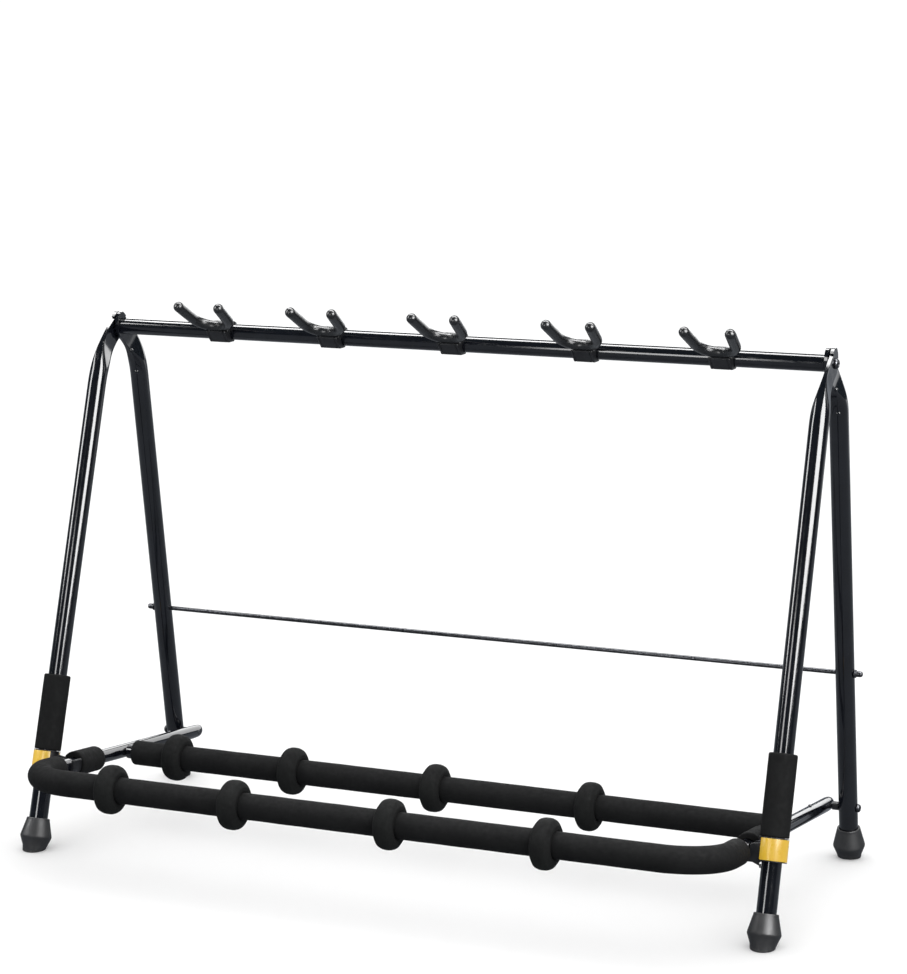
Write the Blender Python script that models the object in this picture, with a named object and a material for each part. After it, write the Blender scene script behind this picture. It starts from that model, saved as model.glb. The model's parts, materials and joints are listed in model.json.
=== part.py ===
"""Folding floor rack for five guitars.

Two A-frames of bent steel tube carry a top rail with five sliding neck yokes.
A foam-covered lower frame, hinged on the rear legs, rests in saddles on the front
legs and holds the guitar bodies between sliding foam spacers.

Metres, +Z up.  X runs along the rail, -Y is the front.  The origin is at floor level,
under the middle of the bounding box.  Angles are in degrees until they are used.
"""
import bmesh
import bpy
from math import atan2, cos, degrees, pi, radians, sin
from mathutils import Matrix, Vector

# ---------------------------------------------------------------- driving dimensions
GAP = 0.0003                 # air between neighbouring pieces
RAIL_Y = 0.1093              # the rail's axis, which is also the fold hinge
RAIL_Z = 0.690
RAIL_RADIUS = 0.0111
RAIL_WALL = 0.0015

LEG_RADIUS = 0.0127
LEG_WALL = 0.0015
FRONT_LEG_X = 0.520          # axis of the front legs' round tube
REAR_LEG_X = 0.5145
FRONT_FOOT_Y = -0.260        # the legs' straight lines at the floor, from the hinge
REAR_FOOT_Y = 0.140
FRONT_TOP_Y = -0.036         # the same lines at the hinge's height
REAR_TOP_Y = 0.038
PLATE_THICKNESS = 0.005      # flattened tube ends
PLATE_HALF_WIDTH = 0.0155
LEG_END = 0.0115             # height of the tube's lower end, inside its foot
BEND_BELOW_HINGE = 0.075     # where a leg's bend towards the hinge starts
KNEE_BELOW_HINGE = 0.030
LEG_BEND_STEPS = 8
PRESSED_FROM = 0.15          # shares of the bend between which the tube is pressed flat
FLAT_FROM = 0.72
FRONT_PLATE_X = 0.5205
REAR_PLATE_X = 0.5137

ARM_X = 0.4835               # side arms of the lower frame
ARM_RISE = 6.65              # degrees above level, towards the front
FRAME_RADIUS = 0.0095
FRAME_WALL = 0.0013
PIVOT_HEIGHT = 0.072         # rear pivot bolts, on the rear legs' axis
FRONT_BAR = 0.4775           # distances from the pivot, along the arm
REAR_BAR = 0.2085
SADDLE_AT = 0.3551
BEND_RADIUS = 0.069
BEND_STEPS = 8
FOAM_RADIUS = 0.01725
FRONT_FOAM_END = 0.384
ARM_FOAM = (0.2845, 0.3425)
REAR_FOAM_END_X = 0.462
ARM_SCREW_AT = 0.0760

SPACER_RADIUS = 0.0325
SPACER_WIDTH = 0.028
FRONT_SPACERS_X = (-0.345, -0.164, 0.057, 0.268)
REAR_SPACERS_X = (-0.395, -0.214, 0.000, 0.223)
YOKES_X = (-0.350, -0.180, -0.0015, 0.1885, 0.3765)

COLLAR_FROM = 0.1060         # distances along a front leg, from the floor
COLLAR_TO = 0.1360
COLLAR_RADIUS = 0.0185
COLLAR_RIM = 0.0011          # height of the saddle's two rims
HUB_RADIUS = 0.0160
COLLAR_OPENING = 46.0        # degrees either side of the hook
LEG_FOAM_TO = 0.2400
STOP_SCREW_AT = 0.0995
STOP_SCREW_FORWARDS = 0.36   # how far its head turns to the front, per unit inwards
ROD_HEIGHT = 0.264
ROD_RADIUS = 0.0031

FOOT_BOTTOM_RADIUS = 0.0155
FOOT_WIDE_RADIUS = 0.0215
FOOT_TOP_RADIUS = 0.0158
FOOT_WIDE_AT = 0.0180
FOOT_TOP_AT = 0.0430
FOOT_FLOOR = 0.0095          # rubber under the tube's end

FORK_RADIUS = 0.0072
FORK_BEND = 0.027
FORK_REACH = 0.0600
FORK_RISE = 31.0             # degrees above level, towards the front
FORK_SPREAD = 6.0            # degrees each arm opens outwards
CLIP_LENGTH = 0.0295
CLIP_OUTER_RADIUS = 0.0146   # round the rail, at the clip's top and back
CLIP_OPEN_FROM = -82.0       # degrees round the rail, between which the clip is open
CLIP_OPEN_TO = -5.0

BOLT_RADIUS = 0.0040
BOLT_HOLE = 0.0044

SMOOTH_ANGLE = 35.0
FLAT_SIDES = 0.04            # how soon a pressed section's sides become flat

# ---------------------------------------------------------------- derived places
FRONT_LEAN = degrees(atan2(FRONT_TOP_Y - FRONT_FOOT_Y, RAIL_Z))
REAR_LEAN = degrees(atan2(REAR_TOP_Y - REAR_FOOT_Y, RAIL_Z))
PIVOT_Y = RAIL_Y + REAR_FOOT_Y + (REAR_TOP_Y - REAR_FOOT_Y) * PIVOT_HEIGHT / RAIL_Z
ROD_Y = RAIL_Y + REAR_FOOT_Y + (REAR_TOP_Y - REAR_FOOT_Y) * ROD_HEIGHT / RAIL_Z


# ---------------------------------------------------------------- materials
def material(name, colour, roughness, metallic=0.0):
    mat = bpy.data.materials.new(name)
    mat.use_nodes = True
    shader = mat.node_tree.nodes["Principled BSDF"]
    shader.inputs["Base Color"].default_value = (*colour, 1.0)
    shader.inputs["Roughness"].default_value = roughness
    shader.inputs["Metallic"].default_value = metallic
    return mat


def black_paint(name):
    return material(name + "_paint", (0.012, 0.013, 0.016), 0.22)


def black_foam(name):
    return material(name + "_foam", (0.018, 0.019, 0.022), 0.92)


def black_rubber(name):
    return material(name + "_rubber", (0.016, 0.018, 0.021), 0.50)


def black_plastic(name):
    return material(name + "_plastic", (0.015, 0.016, 0.019), 0.38)


def black_steel(name):
    return material(name + "_steel", (0.030, 0.031, 0.034), 0.30, 1.0)


def yellow_plastic(name):
    return material(name + "_plastic", (0.72, 0.46, 0.035), 0.28)


# ---------------------------------------------------------------- shape helpers
def boxed(value, square):
    """A circle's coordinate pushed outwards, and held at the side it reaches."""
    size = min(1.0, abs(value) ** (2.0 / square) * (1.0 + FLAT_SIDES * (square - 2.0)))
    return size if value >= 0.0 else -size


def ring(centre, across, along, radius_across, radius_along, count, square=2.0):
    """Points of a superellipse round centre; square=2 is an ellipse, more has flat sides."""
    points = []
    for step in range(count):
        angle = 2.0 * pi * step / count
        u, v = boxed(cos(angle), square), boxed(sin(angle), square)
        points.append(centre + across * (u * radius_across) + along * (v * radius_along))
    return points


def loft(rings, closed=False):
    """A skin through rings of equal size, capped at both ends or closed on itself."""
    bm = bmesh.new()
    loops = [[bm.verts.new(point) for point in points] for points in rings]
    count = len(loops[0])
    pairs = list(zip(loops, loops[1:]))
    if closed:
        pairs.append((loops[-1], loops[0]))
    for low, high in pairs:
        for i in range(count):
            j = (i + 1) % count
            bm.faces.new((low[i], low[j], high[j], high[i]))
    if not closed:
        bm.faces.new(list(reversed(loops[0])))
        bm.faces.new(loops[-1])
    bmesh.ops.recalc_face_normals(bm, faces=bm.faces)
    return bm


def revolve(profile, count, axis="Z", closed=True):
    """Turn (radius, height) points about an axis.  An open profile gets flat caps."""
    turn = {"Z": Matrix.Identity(3), "X": Matrix.Rotation(pi / 2, 3, "Y")}[axis]
    rings = []
    for radius, height in profile:
        centre = turn @ Vector((0.0, 0.0, height))
        across, along = turn @ Vector((1, 0, 0)), turn @ Vector((0, 1, 0))
        rings.append(ring(centre, across, along, radius, radius, count))
    return loft(rings, closed)


def tube_profile(inner, outer, start, end, round_off=0.0):
    """Closed half-section of a sleeve, with its outer edges rounded by a chamfer."""
    if round_off == 0.0:
        return [(inner, start), (outer, start), (outer, end), (inner, end)]
    return [
        (inner, start), (outer - round_off, start), (outer, start + round_off),
        (outer, end - round_off), (outer - round_off, end), (inner, end),
    ]


def extrude_outline(outline, half_length):
    """A prism along X from (y, z) points."""
    rings = [[Vector((x, y, z)) for y, z in outline] for x in (-half_length, half_length)]
    return loft(rings)


def add_object(name, bm, mat, location=(0, 0, 0), tilt=0.0, smooth=SMOOTH_ANGLE):
    """Make an object from bm; tilt is a turn about X in degrees."""
    mesh = bpy.data.meshes.new(name)
    bm.to_mesh(mesh)
    bm.free()
    mesh.materials.append(mat)
    mesh.shade_smooth()
    mesh.set_sharp_from_angle(angle=radians(smooth))
    obj = bpy.data.objects.new(name, mesh)
    obj.location = location
    obj.rotation_euler = (radians(tilt), 0.0, 0.0)
    bpy.context.scene.collection.objects.link(obj)
    return obj


def add_cutter(name, bm, location=(0, 0, 0), tilt=0.0):
    mesh = bpy.data.meshes.new(name)
    bm.to_mesh(mesh)
    bm.free()
    obj = bpy.data.objects.new(name, mesh)
    obj.location = location
    obj.rotation_euler = (radians(tilt), 0.0, 0.0)
    obj.hide_render = True
    obj.display_type = "WIRE"
    bpy.context.scene.collection.objects.link(obj)
    return obj


def combine(obj, tool, operation):
    modifier = obj.modifiers.new(tool.name, "BOOLEAN")
    modifier.operation = operation
    modifier.solver = "EXACT"
    modifier.object = tool


def drill_x(obj, radius, x, y, z, half_length=0.03):
    """Cut a round hole along X through obj."""
    bm = revolve([(radius, -half_length), (radius, half_length)], 16, "X", closed=False)
    combine(obj, add_cutter("cut_" + obj.name + "_%d" % len(obj.modifiers), bm, (x, y, z)), "DIFFERENCE")


def side_name(side):
    return "right" if side > 0 else "left"


# ---------------------------------------------------------------- legs
def leg_sections(front):
    """Sections of a leg from its lower end to the tip of its plate, seen from the side.

    Each entry is (y, z, heading, half width, half thickness).  y and z are from the hinge
    axis, and heading is the centre line's angle from vertical in radians.  The tube runs
    straight, bends along a parabola to the hinge while it is pressed flat, and ends in a
    rounded plate.
    """
    towards = -1.0 if front else 1.0
    foot_y = FRONT_FOOT_Y if front else REAR_FOOT_Y
    lean = radians(FRONT_LEAN if front else REAR_LEAN)
    slope = sin(lean) / cos(lean)
    plate = PLATE_THICKNESS / 2.0

    def on_line(z):
        return Vector((foot_y + slope * (z + RAIL_Z), z))

    sections = [(*on_line(LEG_END - RAIL_Z), lean, LEG_RADIUS, LEG_RADIUS)]
    start, knee, hinge = on_line(-BEND_BELOW_HINGE), on_line(-KNEE_BELOW_HINGE), Vector((0.0, 0.0))
    for step in range(LEG_BEND_STEPS + 1):
        t = step / LEG_BEND_STEPS
        centre = start * (1 - t) ** 2 + knee * (2 * t * (1 - t)) + hinge * t ** 2
        forward = (knee - start) * (1 - t) + (hinge - knee) * t
        share = min(1.0, max(0.0, (t - PRESSED_FROM) / (FLAT_FROM - PRESSED_FROM)))
        flat = share ** 2 * (3.0 - 2.0 * share)
        width = LEG_RADIUS + (PLATE_HALF_WIDTH - LEG_RADIUS) * flat
        thickness = LEG_RADIUS + (plate - LEG_RADIUS) * flat
        sections.append((centre.x, centre.y, atan2(forward.x, forward.y), width, thickness))
    for turn, height, width in ((-15.0, 0.0110, 0.0120), (0.0, 0.0170, 0.0078), (0.0, 0.0200, 0.0035)):
        sections.append((towards * -0.0010, height, radians(turn) * towards, width, plate))
    return sections


def pressed_share(thickness):
    """How far a leg's section is pressed flat, from 0 to 1."""
    return (LEG_RADIUS - thickness) / (LEG_RADIUS - PLATE_THICKNESS / 2.0)


def make_leg(side, front):
    name = ("front_leg_" if front else "rear_leg_") + side_name(side)
    round_x = side * (FRONT_LEG_X if front else REAR_LEG_X)
    plate_x = side * (FRONT_PLATE_X if front else REAR_PLATE_X)
    sections = leg_sections(front)

    def section(index, shrink=0.0):
        y, z, heading, width, thickness = sections[index]
        flatness = pressed_share(thickness)
        centre = Vector((round_x + (plate_x - round_x) * flatness, y, z))
        across = Vector((0.0, cos(heading), -sin(heading)))
        square = 2.0 + 2.5 * flatness
        return ring(centre, across, Vector((1, 0, 0)), width - shrink, thickness - shrink, 24, square)

    bore = [section(index, LEG_WALL) for index in (3, 1, 0)]
    skin = [section(index) for index in range(len(sections))]
    leg = add_object(name, loft(bore + skin), black_paint(name), (0.0, RAIL_Y, RAIL_Z))
    drill_x(leg, BOLT_HOLE, plate_x, RAIL_Y, RAIL_Z)
    if not front:
        drill_x(leg, ROD_RADIUS + 0.0004, round_x, ROD_Y, ROD_HEIGHT)
        drill_x(leg, BOLT_HOLE, round_x, PIVOT_Y, PIVOT_HEIGHT)
    return leg


def leg_place(side, front):
    """Foot of a leg's axis and its tilt about X, for pieces that ride on the leg."""
    if front:
        return (side * FRONT_LEG_X, RAIL_Y + FRONT_FOOT_Y, 0.0), -FRONT_LEAN
    return (side * REAR_LEG_X, RAIL_Y + REAR_FOOT_Y, 0.0), -REAR_LEAN


def make_foot(side, front):
    """Rubber foot: two cones round the leg, with its sole cut level with the floor."""
    name = ("front_foot_" if front else "rear_foot_") + side_name(side)
    place, tilt = leg_place(side, front)
    slope = sin(radians(-tilt)) / cos(radians(tilt))
    socket = LEG_RADIUS + GAP
    profile = [
        (socket, FOOT_FLOOR), (socket, FOOT_TOP_AT), (FOOT_TOP_RADIUS - 0.0006, FOOT_TOP_AT),
        (FOOT_TOP_RADIUS, FOOT_TOP_AT - 0.0010), (FOOT_WIDE_RADIUS - 0.0008, FOOT_WIDE_AT + 0.0035),
        (FOOT_WIDE_RADIUS, FOOT_WIDE_AT), (FOOT_WIDE_RADIUS - 0.0012, FOOT_WIDE_AT - 0.0035),
    ]
    across, along = Vector((1, 0, 0)), Vector((0, 1, 0))
    rings = [ring(Vector((0, 0, height)), across, along, radius, radius, 24) for radius, height in profile]
    sole = ring(Vector((0, 0, 0)), across, along, FOOT_BOTTOM_RADIUS, FOOT_BOTTOM_RADIUS, 24)
    rings.append([Vector((point.x, point.y, point.y * slope)) for point in sole])
    return add_object(name, loft(rings), black_rubber(name), place, tilt)


def make_leg_sleeve(side):
    name = "leg_sleeve_" + side_name(side)
    place, tilt = leg_place(side, True)
    profile = tube_profile(LEG_RADIUS + GAP, COLLAR_RADIUS, COLLAR_TO + GAP, LEG_FOAM_TO, 0.0012)
    return add_object(name, revolve(profile, 24), black_foam(name), place, tilt)


def saddle_outline():
    """Hook that carries an arm, as (inward, up) points from the arm's axis."""
    inner = FRAME_RADIUS + GAP
    outer = inner + 0.0042
    inward = FRONT_LEG_X - ARM_X
    points = [(0.0135 - inward, 0.0075), (-inner, 0.0075)]
    for step in range(9):
        angle = pi + pi * step / 8
        points.append((inner * cos(angle), inner * sin(angle)))
    points += [(inner + 0.0004, 0.0085), (outer - 0.0008, 0.0100), (outer, 0.0085)]
    for step in range(5):
        angle = -pi / 2 * step / 4
        points.append((outer * cos(angle), outer * sin(angle)))
    points.append((0.0135 - inward, -outer))
    return points


def make_saddle(side):
    """Black hub round the front leg, with two rims and the open hook for the arm."""
    name = "saddle_" + side_name(side)
    place, tilt = leg_place(side, True)
    bore = LEG_RADIUS + GAP
    low = COLLAR_FROM + COLLAR_RIM
    high = COLLAR_TO - COLLAR_RIM
    profile = [
        (bore, COLLAR_FROM), (COLLAR_RADIUS, COLLAR_FROM), (COLLAR_RADIUS, low), (HUB_RADIUS, low),
        (HUB_RADIUS, high), (COLLAR_RADIUS, high), (COLLAR_RADIUS, COLLAR_TO), (bore, COLLAR_TO),
    ]
    saddle = add_object(name, revolve(profile, 24), black_plastic(name), place, tilt)
    arm = arm_point(SADDLE_AT)
    half = 0.011
    rings = []
    for y in (-half, half):
        rings.append([Vector((-side * inward, y, up)) for inward, up in saddle_outline()])
    hook = add_cutter("join_" + name, loft(rings), (side * ARM_X, arm.y, arm.z), -ARM_RISE)
    combine(saddle, hook, "UNION")
    return saddle


def make_collar(side):
    """Yellow band clipped round the saddle's hub, open where the hook comes out."""
    name = "collar_" + side_name(side)
    place, tilt = leg_place(side, True)
    low = COLLAR_FROM + COLLAR_RIM + GAP
    high = COLLAR_TO - COLLAR_RIM - GAP
    inner = HUB_RADIUS + GAP
    outer = COLLAR_RADIUS
    rings = []
    steps = 22
    for step in range(steps + 1):
        angle = radians(COLLAR_OPENING + (360.0 - 2.0 * COLLAR_OPENING) * step / steps)
        towards = Vector((-side * cos(angle), sin(angle), 0.0))
        rings.append([towards * radius + Vector((0, 0, z)) for radius, z in (
            (inner, low), (outer, low), (outer, high), (inner, high))])
    return add_object(name, loft(rings), yellow_plastic(name), place, tilt)


def make_stop_screw(side):
    """Pan-head screw under the saddle, on the leg's inner side."""
    name = "stop_screw_" + side_name(side)
    place, tilt = leg_place(side, True)
    towards = Vector((-side, -STOP_SCREW_FORWARDS, 0.0)).normalized()
    across = Vector((0, 0, 1))
    along = towards.cross(across)
    rings = []
    for out, radius in ((0.0, 0.0027), (0.0024, 0.0027), (0.0033, 0.0018)):
        centre = towards * (LEG_RADIUS + GAP + out) + Vector((0, 0, STOP_SCREW_AT))
        rings.append(ring(centre, across, along, radius, radius, 12))
    return add_object(name, loft(rings), black_steel(name), place, tilt)


# ---------------------------------------------------------------- rail and hinge
def make_rail():
    end = REAR_PLATE_X - PLATE_THICKNESS / 2.0 - GAP
    profile = tube_profile(RAIL_RADIUS - RAIL_WALL, RAIL_RADIUS, -end, end)
    return add_object("top_rail", revolve(profile, 28, "X"), black_paint("top_rail"), (0, RAIL_Y, RAIL_Z))


def make_rail_plug(side):
    """Threaded plug in the rail's end that takes the hinge bolt."""
    name = "rail_plug_" + side_name(side)
    end = REAR_PLATE_X - PLATE_THICKNESS / 2.0 - GAP
    bore = BOLT_RADIUS + GAP
    outer = RAIL_RADIUS - RAIL_WALL - GAP
    profile = [
        (bore, 0.0), (bore, -0.0170), (0.0008, -0.0170), (0.0008, -0.0240), (outer, -0.0240), (outer, 0.0),
    ]
    bm = revolve([(radius, side * x) for radius, x in profile], 14, "X")
    return add_object(name, bm, black_steel(name), (side * end, RAIL_Y, RAIL_Z))


def make_bolt(name, side, head_x, shank, y, z, head_radius=0.0062):
    """Button-head bolt along X; head_x is the underside of its head."""
    profile = [
        (0.0022, 0.0022), (0.0022, 0.0040), (head_radius - 0.0024, 0.0040), (head_radius - 0.0006, 0.0026),
        (head_radius, 0.0010), (head_radius, 0.0), (BOLT_RADIUS, 0.0), (BOLT_RADIUS, -shank + 0.0008),
        (BOLT_RADIUS - 0.0008, -shank),
    ]
    bm = revolve([(radius, side * x) for radius, x in profile], 14, "X", closed=False)
    return add_object(name, bm, black_steel(name), (side * head_x, y, z))


def make_hinge(side):
    """Bolt and washer that join a front leg, a rear leg and the rail."""
    outside = FRONT_PLATE_X + PLATE_THICKNESS / 2.0 + GAP
    make_bolt("hinge_bolt_" + side_name(side), side, outside, 0.0250, RAIL_Y, RAIL_Z, 0.0068)
    name = "hinge_washer_" + side_name(side)
    middle = (FRONT_PLATE_X + REAR_PLATE_X) / 2.0
    thickness = FRONT_PLATE_X - REAR_PLATE_X - PLATE_THICKNESS - 2.0 * GAP
    profile = tube_profile(BOLT_RADIUS + GAP, 0.0095, -thickness / 2.0, thickness / 2.0)
    add_object(name, revolve(profile, 20, "X"), black_plastic(name), (side * middle, RAIL_Y, RAIL_Z))


# ---------------------------------------------------------------- rear cross rod
def make_cross_rod():
    half = REAR_LEG_X + LEG_RADIUS + 0.0060
    profile = [(ROD_RADIUS, -half), (ROD_RADIUS, half)]
    bm = revolve(profile, 12, "X", closed=False)
    add_object("cross_rod", bm, black_steel("cross_rod"), (0, ROD_Y, ROD_HEIGHT))


def make_rod_cap(side):
    name = "rod_cap_" + side_name(side)
    bore = ROD_RADIUS + GAP
    profile = [
        (0.0006, 0.0068), (0.0006, 0.0112), (0.0022, 0.0110), (0.0036, 0.0096), (0.0040, 0.0075),
        (0.0040, 0.0028), (0.0056, 0.0020), (0.0056, 0.0), (bore, 0.0), (bore, 0.0068),
    ]
    bm = revolve([(radius, side * x) for radius, x in profile], 14, "X")
    x = side * (REAR_LEG_X + LEG_RADIUS + GAP)
    return add_object(name, bm, black_steel(name), (x, ROD_Y, ROD_HEIGHT))


# ---------------------------------------------------------------- lower frame
def arm_point(distance, x=0.0):
    """World point at a distance from the rear pivot along the arms' line."""
    rise = radians(ARM_RISE)
    return Vector((x, PIVOT_Y - distance * cos(rise), PIVOT_HEIGHT + distance * sin(rise)))


def frame_object(name, bm, mat):
    """A piece of the lower frame, modelled flat with its origin on the rear pivot."""
    return add_object(name, bm, mat, (0.0, PIVOT_Y, PIVOT_HEIGHT), -ARM_RISE)


def frame_route(from_distance, steps):
    """Arm, bend, bar, bend, arm: (x, y) points of the U, in the lower frame's plane."""
    corner = ARM_X - BEND_RADIUS
    turn = FRONT_BAR - BEND_RADIUS
    right = [(ARM_X, -from_distance)]
    for step in range(steps + 1):
        angle = pi / 2 * step / steps
        right.append((corner + BEND_RADIUS * cos(angle), -turn - BEND_RADIUS * sin(angle)))
    left = [(-x, y) for x, y in reversed(right)]
    return right + left


def route_rings(route, radius, count):
    """Round sections square to a flat route."""
    points = [Vector((x, y, 0.0)) for x, y in route]
    rings = []
    for index, point in enumerate(points):
        before = points[max(index - 1, 0)]
        after = points[min(index + 1, len(points) - 1)]
        heading = (after - before).normalized()
        upright = Vector((0, 0, 1))
        rings.append(ring(point, heading.cross(upright), upright, radius, radius, count))
    return rings


def arm_end_rings(side, shrink, count):
    """Rear end of an arm, from the tip towards the front.

    The end is closed and rounded.  Its top stays level while its underside rises.
    """
    sections = [
        (0.0165, 0.0040, 0.0036), (0.0150, 0.0062, 0.0062), (0.0115, 0.0079, 0.0082),
        (0.0060, 0.0090, 0.0093), (-0.0080, FRAME_RADIUS, FRAME_RADIUS),
        (-0.0120, FRAME_RADIUS, FRAME_RADIUS), (-0.0400, FRAME_RADIUS, FRAME_RADIUS),
    ]
    if shrink:
        sections = sections[-2:]
    rings = []
    for y, height, thickness in sections:
        centre = Vector((side * ARM_X, y, 0.7 * (FRAME_RADIUS - height)))
        rings.append(ring(centre, Vector((-side, 0, 0)), Vector((0, 0, 1)),
                          thickness - shrink, height - shrink, count))
    return rings


def mirrored(rings):
    """The same sections across the middle plane, in reverse order."""
    return [[Vector((-point.x, point.y, point.z)) for point in points] for points in reversed(rings)]


def make_frame_tube():
    """One bent tube: both side arms and the front bar, with rounded rear ends."""
    name = "lower_frame_tube"
    count = 16
    route = frame_route(0.050, BEND_STEPS)

    def skin(shrink):
        end = arm_end_rings(1, shrink, count)
        middle = route_rings(route, FRAME_RADIUS - shrink, count)
        return end + middle + mirrored(end)

    bm = loft(skin(0.0))
    inside = loft(skin(FRAME_WALL))
    bmesh.ops.reverse_faces(inside, faces=inside.faces)
    hollow = bpy.data.meshes.new("hollow")
    inside.to_mesh(hollow)
    inside.free()
    bm.from_mesh(hollow)
    bpy.data.meshes.remove(hollow)
    tube = frame_object(name, bm, black_paint(name))
    for side in (-1, 1):
        drill_x(tube, BOLT_HOLE, side * ARM_X, PIVOT_Y, PIVOT_HEIGHT)
        vent = revolve([(0.0022, -0.0150), (0.0022, 0.0)], 10, closed=False)
        place = arm_point(0.055, side * ARM_X)
        combine(tube, add_cutter("vent_" + side_name(side), vent, place, -ARM_RISE), "DIFFERENCE")
    return tube


def make_front_foam():
    """One foam sleeve over the front bar and both bends, with chamfered ends."""
    name = "front_bar_foam"
    count = 16
    chamfer = 0.0015
    ends = frame_route(FRONT_FOAM_END, BEND_STEPS)
    outer = route_rings(frame_route(FRONT_FOAM_END + chamfer, BEND_STEPS), FOAM_RADIUS, count)
    inner = route_rings(ends, FRAME_RADIUS + GAP, count)
    inset = route_rings(ends, FOAM_RADIUS - chamfer, count)
    rings = [inset[0]] + outer + [inset[-1]] + list(reversed(inner))
    return frame_object(name, loft(rings, closed=True), black_foam(name))


def make_arm_foam(side):
    name = "arm_foam_" + side_name(side)
    start, end = ARM_FOAM
    chamfer = 0.0015
    inner = FRAME_RADIUS + GAP
    rings = []
    for radius, distance in tube_profile(inner, FOAM_RADIUS, start, end, chamfer):
        centre = Vector((side * ARM_X, -distance, 0.0))
        rings.append(ring(centre, Vector((1, 0, 0)), Vector((0, 0, 1)), radius, radius, 20))
    return frame_object(name, loft(rings, closed=True), black_foam(name))


def make_rear_bar():
    name = "rear_bar_tube"
    end = ARM_X - FRAME_RADIUS - GAP
    profile = tube_profile(FRAME_RADIUS - FRAME_WALL, FRAME_RADIUS, -end, end)
    bm = revolve(profile, 20, "X")
    bmesh.ops.translate(bm, verts=bm.verts, vec=(0.0, -REAR_BAR, 0.0))
    return frame_object(name, bm, black_paint(name))


def make_rear_foam():
    name = "rear_bar_foam"
    profile = tube_profile(FRAME_RADIUS + GAP, FOAM_RADIUS, -REAR_FOAM_END_X, REAR_FOAM_END_X, 0.0015)
    bm = revolve(profile, 24, "X")
    bmesh.ops.translate(bm, verts=bm.verts, vec=(0.0, -REAR_BAR, 0.0))
    return frame_object(name, bm, black_foam(name))


def make_spacer(name, x, distance):
    """Thick foam disc that slides along a foam-covered bar."""
    half = SPACER_WIDTH / 2.0
    bore = FOAM_RADIUS + GAP
    profile = [
        (bore, -half), (SPACER_RADIUS - 0.0085, -half), (SPACER_RADIUS - 0.0020, -half + 0.0045),
        (SPACER_RADIUS, -half + 0.0100), (SPACER_RADIUS, half - 0.0100),
        (SPACER_RADIUS - 0.0020, half - 0.0045), (SPACER_RADIUS - 0.0085, half), (bore, half),
    ]
    return add_object(name, revolve(profile, 20, "X"), black_foam(name), arm_point(distance, x), -ARM_RISE)


def make_arm_pivot(side):
    """Bolt and spacer tube that hang an arm on a rear leg.

    The bolt's inner end is flush with the arm's inner side.
    """
    word = side_name(side)
    outside = REAR_LEG_X + LEG_RADIUS + GAP
    shank = outside - (ARM_X - FRAME_RADIUS)
    make_bolt("pivot_bolt_" + word, side, outside, shank, PIVOT_Y, PIVOT_HEIGHT, 0.0058)

    name = "pivot_spacer_" + word
    start = ARM_X + FRAME_RADIUS + GAP
    end = REAR_LEG_X - LEG_RADIUS - GAP
    profile = tube_profile(BOLT_RADIUS + GAP, 0.0058, 0.0, end - start)
    bm = revolve([(radius, side * x) for radius, x in profile], 16, "X")
    add_object(name, bm, black_plastic(name), (side * start, PIVOT_Y, PIVOT_HEIGHT))


def make_arm_screw(side):
    """Small screw head on top of an arm, ahead of the pivot."""
    name = "arm_screw_" + side_name(side)
    seat = FRAME_RADIUS + GAP
    profile = [(0.0026, seat), (0.0026, seat + 0.0013), (0.0014, seat + 0.0021)]
    bm = revolve(profile, 12, closed=False)
    return add_object(name, bm, black_steel(name), arm_point(ARM_SCREW_AT, side * ARM_X), -ARM_RISE)


# ---------------------------------------------------------------- neck yokes
def fork_seat():
    """Axis of the fork's base, as (y, z) from the rail's axis."""
    return -0.0212, 0.0096


def clip_outline():
    """Side of the clip as (y, z) points from the rail's axis, with the fork's seat.

    The clip hugs the rail's front, top and back, and is open below the back so that it
    snaps on.
    """
    seat_y, seat_z = fork_seat()
    seat = FORK_RADIUS + GAP
    bore = RAIL_RADIUS + GAP
    rise = radians(FORK_RISE)
    points = [(-0.0142, -0.0134), (0.0010, -0.0134)]
    for step in range(15):
        angle = radians(CLIP_OPEN_FROM + (CLIP_OPEN_TO - 360.0 - CLIP_OPEN_FROM) * step / 14)
        points.append((bore * cos(angle), bore * sin(angle)))
    for step in range(7):
        angle = radians(CLIP_OPEN_TO + (104.0 - CLIP_OPEN_TO) * step / 6)
        points.append((CLIP_OUTER_RADIUS * cos(angle), CLIP_OUTER_RADIUS * sin(angle)))
    points.append((-0.0122, 0.0150))
    for step in range(7):
        angle = radians(55.0) - rise - radians(145.0) * step / 6
        points.append((seat_y + seat * cos(angle), seat_z + seat * sin(angle)))
    lip = Vector((-cos(rise), sin(rise))) * 0.0010
    up = Vector((sin(rise), cos(rise)))
    points.append((seat_y - up.x * seat + lip.x, seat_z - up.y * seat + lip.y))
    points.append((seat_y - up.x * (seat + 0.0024) + lip.x, seat_z - up.y * (seat + 0.0024) + lip.y))
    points.append((-0.0172, -0.0095))
    return points


def make_yoke_clip(number, x):
    name = "yoke_clip_%d" % number
    outline = extrude_outline(clip_outline(), CLIP_LENGTH / 2.0)
    return add_object(name, outline, black_plastic(name), (x, RAIL_Y, RAIL_Z))


def fork_route():
    """U of the fork in its own plane: x across, reach forwards."""
    spread = radians(FORK_SPREAD)
    turn = pi / 2 - spread
    steps = 5
    right = []
    for step in range(steps + 1):
        angle = turn * step / steps
        right.append((FORK_BEND * sin(angle), FORK_BEND * (1.0 - cos(angle))))
    end_x, end_reach = right[-1]
    for reach in (0.5 * (end_reach + FORK_REACH), FORK_REACH):
        right.append((end_x + (reach - end_reach) * sin(spread) / cos(spread), reach))
    left = [(-across, reach) for across, reach in reversed(right[1:])]
    return left + right


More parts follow.
